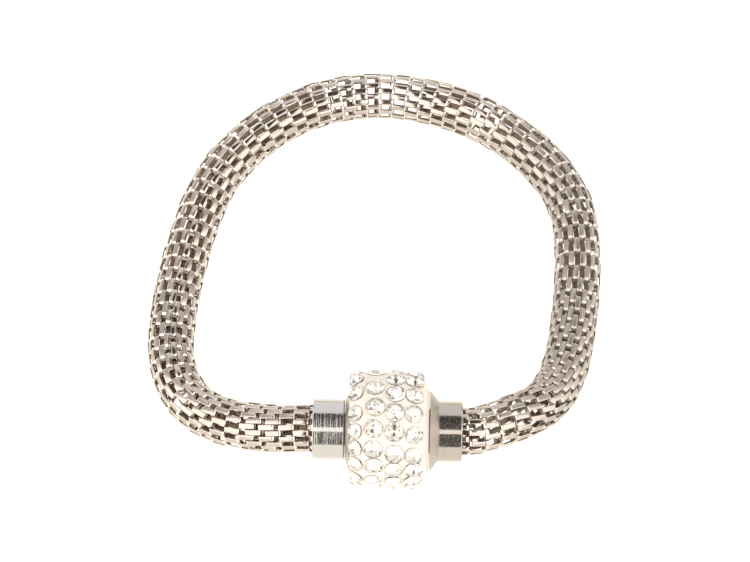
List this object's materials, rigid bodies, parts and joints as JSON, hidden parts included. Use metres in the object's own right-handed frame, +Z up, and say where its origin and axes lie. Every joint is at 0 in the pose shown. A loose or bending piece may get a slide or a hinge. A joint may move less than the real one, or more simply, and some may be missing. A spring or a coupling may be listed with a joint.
{
  "type": "mesh tube bracelet with paved magnetic clasp",
  "caption": "Closed bracelet: a hollow tube of woven flat metal links whose ends sit in the turned steel cups of a magnetic clasp with a cream clay barrel bead paved with clear stones.",
  "frame": {"origin": "on the ground, in the middle of the closed bracelet's footprint as it lies flat", "axes": "+Z up off the ground and along the way a wrist goes in, +Y from the clasp to the back of the loop, +X to the right seen from the clasp's side"},
  "size_m": [0.0628, 0.0679, 0.016],
  "materials": {
    "woven_steel": "bright nickel tone, warm grey, slightly brushed",
    "turned_steel": "fine turned and polished",
    "cream_clay": "matt cream clay",
    "clear_crystal": "faceted and foiled behind",
    "dark_magnet": "plain"
  },
  "bodies": {
    "root": {"mesh_tube": "woven_steel", "left_cap": "turned_steel", "left_flange": "turned_steel", "paved_bead": "cream_clay", "right_cap": "turned_steel", "clasp_magnet": "dark_magnet"}
  },
  "joints": []
}
